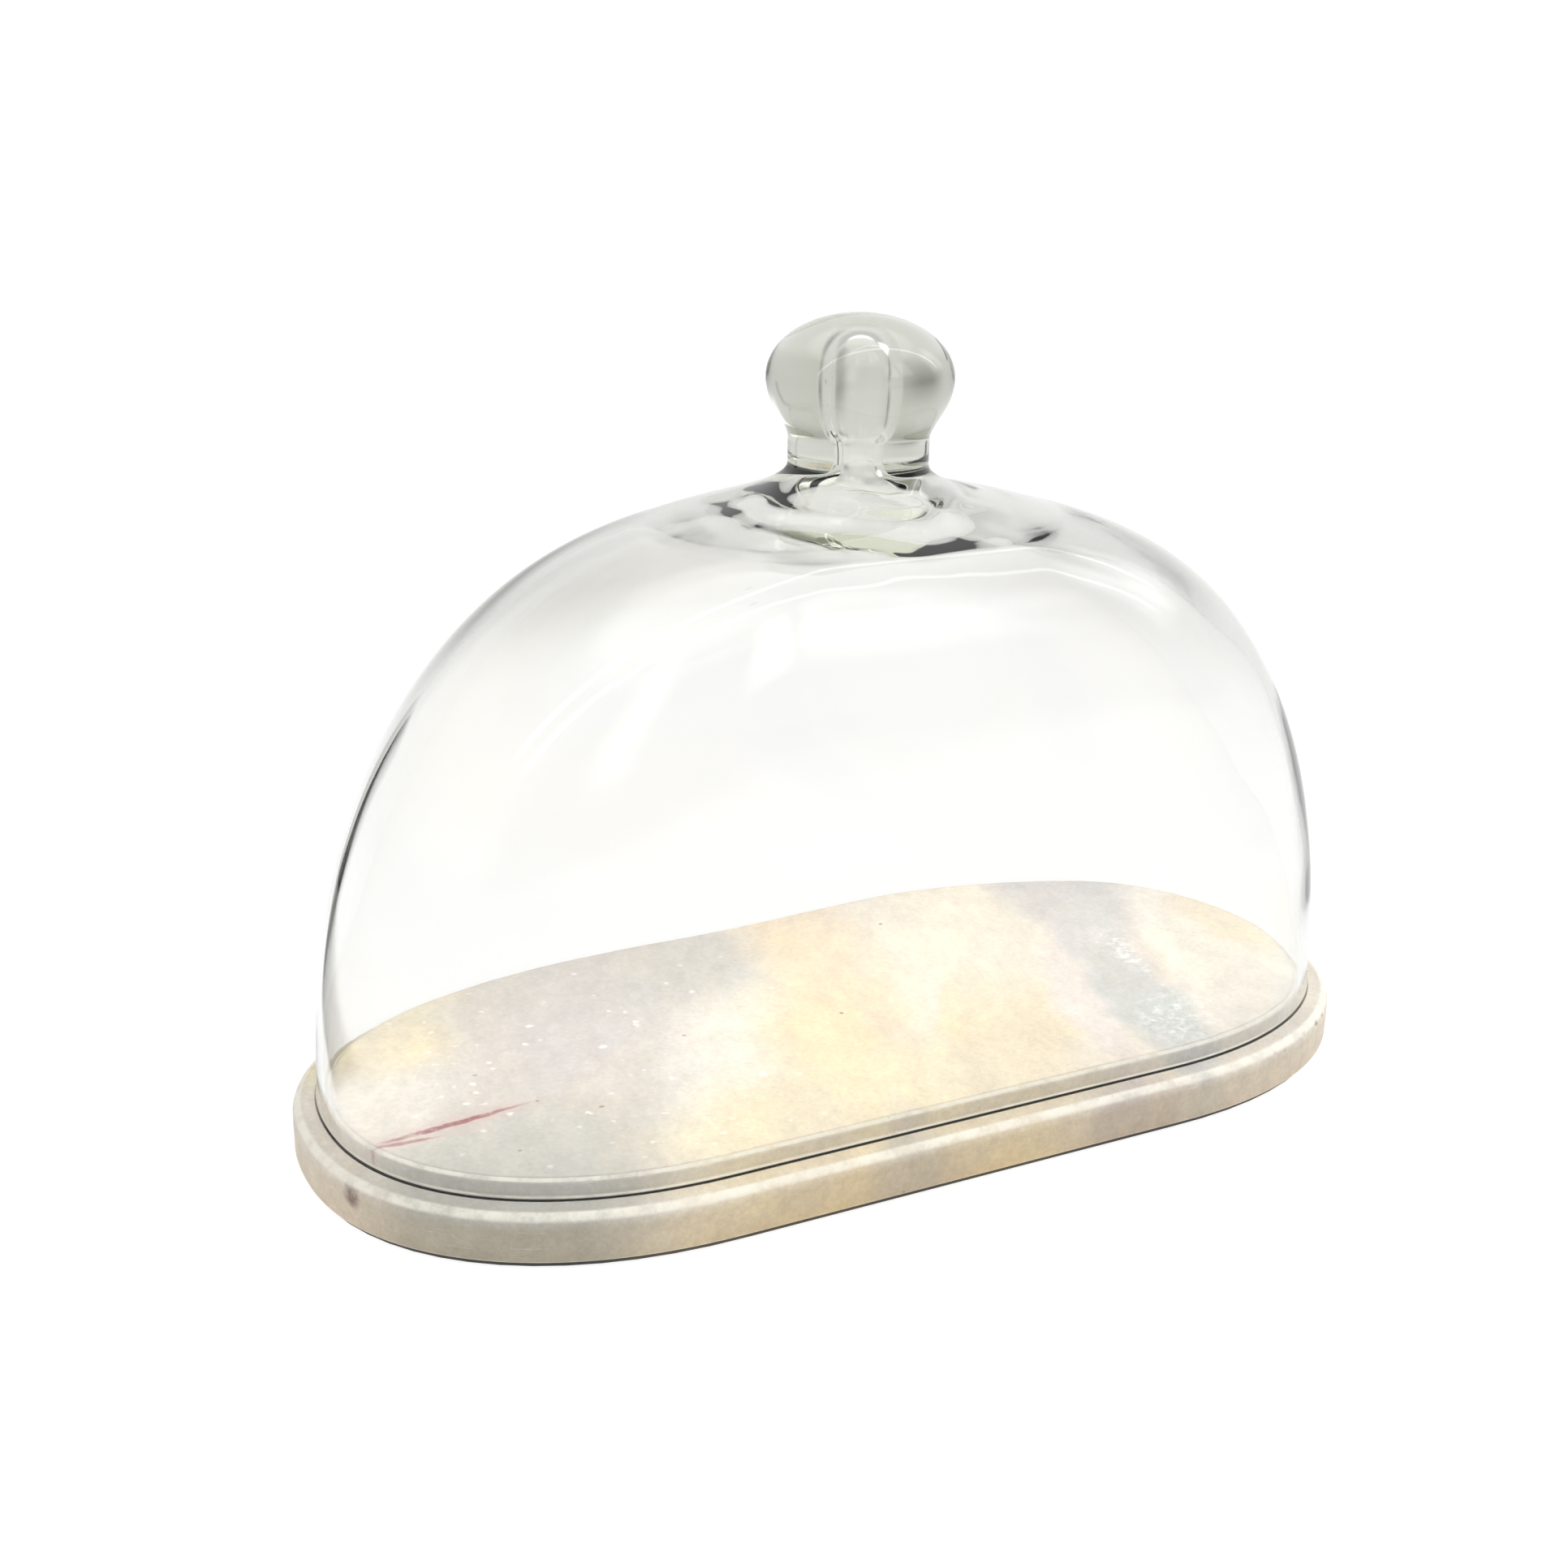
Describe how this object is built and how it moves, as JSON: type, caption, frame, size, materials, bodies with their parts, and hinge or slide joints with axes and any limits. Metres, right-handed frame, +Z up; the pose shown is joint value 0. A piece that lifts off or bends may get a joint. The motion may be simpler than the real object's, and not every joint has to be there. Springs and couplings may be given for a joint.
{
  "type": "cheese dome",
  "caption": "Clear blown glass cheese dome with an integral hollow knob, standing on a long oval marble base whose raised plateau locates its rim.",
  "frame": {"origin": "under the middle of the base, on the surface that the bumper feet stand on", "axes": "+Z up through the knob, +X along the base's length towards its right-hand end, +Y towards the back"},
  "size_m": [0.305, 0.142, 0.2082],
  "materials": {
    "marble": "honed satin marble, cream and pale grey with soft yellow patches and a few thin veins",
    "clear_glass": "polished clear blown glass with a faint grey-green tint",
    "bumper": "translucent matt bumper"
  },
  "bodies": {
    "base": {"marble_base": "marble", "foot_front_left": "bumper", "foot_front_right": "bumper", "foot_back_left": "bumper", "foot_back_right": "bumper"},
    "dome": {"glass_dome": "clear_glass"}
  },
  "joints": [
    {"name": "dome_lift", "type": "slide", "parent": "base", "child": "dome", "axis": [0, 0, 1], "range_m": [0, 0.22]}
  ]
}
